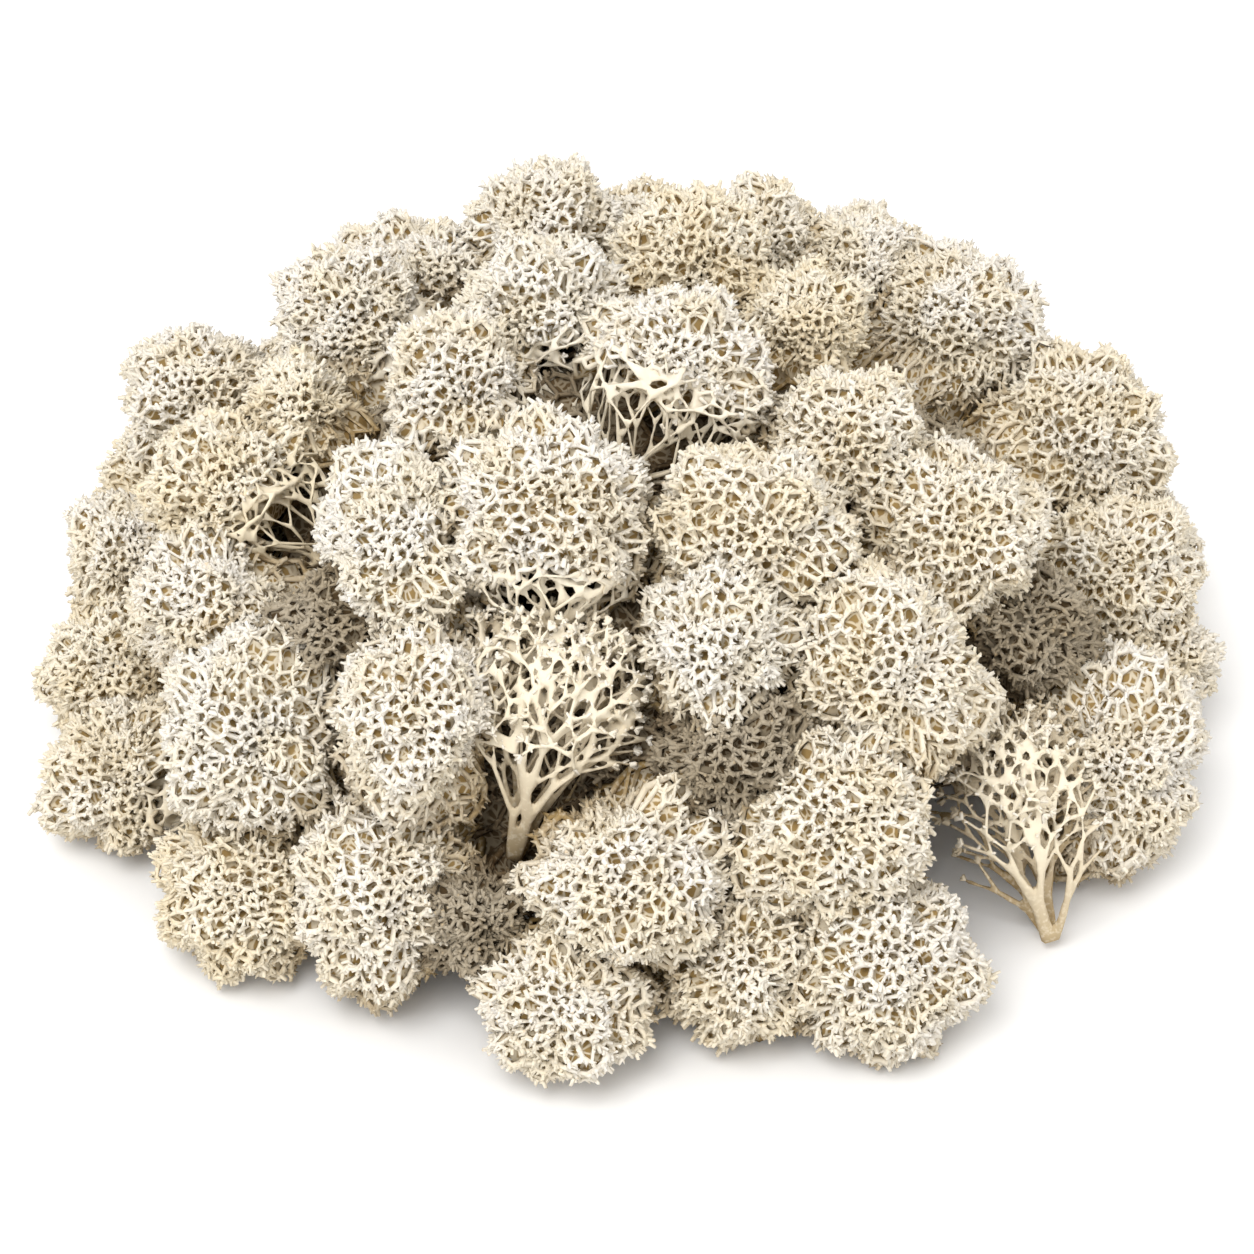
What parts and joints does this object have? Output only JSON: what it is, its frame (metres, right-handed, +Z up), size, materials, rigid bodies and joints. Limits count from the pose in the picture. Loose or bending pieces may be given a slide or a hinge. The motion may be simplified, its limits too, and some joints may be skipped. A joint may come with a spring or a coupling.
{
  "type": "reindeer moss clump",
  "caption": "Loose rounded heap of pale dried reindeer lichen, in cushion-like tufts of fine branches with star-shaped tips, that lies flat on a surface.",
  "frame": {"origin": "middle of the heap's box, on the surface that it rests on", "axes": "+Z up; +X to the right as seen from the front, which faces -Y"},
  "size_m": [0.2362, 0.233, 0.1032],
  "materials": {
    "lichen_white": "matt, fine branched lichen, off-white",
    "lichen_cream": "matt, fine branched lichen, cream",
    "lichen_straw": "matt, fine branched lichen, straw yellow",
    "lichen_grey": "matt, fine branched lichen, cool pale grey",
    "lichen_shade": "matt, fine branched lichen, tan, deep in the heap"
  },
  "bodies": {
    "root": {"crown_tuft_front": "lichen_white", "crown_tuft_left": "lichen_white", "crown_tuft_middle": "lichen_white", "crown_tuft_right": "lichen_cream", "crown_tuft_back_left": "lichen_grey", "crown_tuft_back_right": "lichen_straw", "crown_tuft_back": "lichen_straw", "shoulder_tuft_front_left": "lichen_grey", "shoulder_tuft_front": "lichen_grey", "shoulder_tuft_front_right": "lichen_cream", "shoulder_tuft_right_low": "lichen_cream", "shoulder_tuft_right": "lichen_cream", "shoulder_tuft_left": "lichen_straw", "shoulder_tuft_back_left": "lichen_white", "shoulder_tuft_back_small": "lichen_white", "shoulder_tuft_back": "lichen_white", "shoulder_tuft_back_right": "lichen_cream", "shoulder_tuft_back_far_right": "lichen_white", "flank_fan_front": "lichen_white", "flank_tuft_front_deep": "lichen_shade", "flank_tuft_front_low": "lichen_white", "flank_tuft_front_left": "lichen_white", "flank_tuft_front_right": "lichen_cream", "flank_tuft_left_low": "lichen_grey", "flank_tuft_left_deep": "lichen_shade", "flank_tuft_left": "lichen_white", "flank_tuft_left_high": "lichen_straw", "flank_tuft_back_left": "lichen_white", "flank_tuft_right_deep": "lichen_shade", "flank_tuft_right": "lichen_cream", "flank_tuft_back_right": "lichen_cream", "flank_tuft_back_far_right": "lichen_white", "foot_tuft_front_left": "lichen_white", "foot_tuft_front_small": "lichen_shade", "foot_tuft_front": "lichen_white", "foot_tuft_front_right": "lichen_cream", "foot_tuft_right_net": "lichen_white", "foot_fan_right": "lichen_white", "foot_tuft_right": "lichen_white", "foot_tuft_far_right": "lichen_cream", "foot_tuft_left": "lichen_straw", "foot_tuft_far_left": "lichen_cream", "foot_tuft_left_straw": "lichen_straw", "foot_tuft_left_fringe": "lichen_white", "back_foot_tuft_right": "lichen_cream", "back_foot_tuft_far_right": "lichen_white", "back_foot_tuft_middle_right": "lichen_grey", "back_foot_tuft_middle": "lichen_white", "back_foot_tuft_middle_left": "lichen_cream", "back_foot_tuft_far_left": "lichen_white", "back_foot_tuft_left": "lichen_straw", "back_tuft_right": "lichen_white", "back_tuft_middle": "lichen_cream", "back_tuft_left": "lichen_white", "inner_tuft_left": "lichen_shade", "inner_tuft_right": "lichen_shade", "inner_tuft_back": "lichen_shade", "inner_tuft_front": "lichen_shade", "inner_tuft_high": "lichen_shade"}
  },
  "joints": []
}
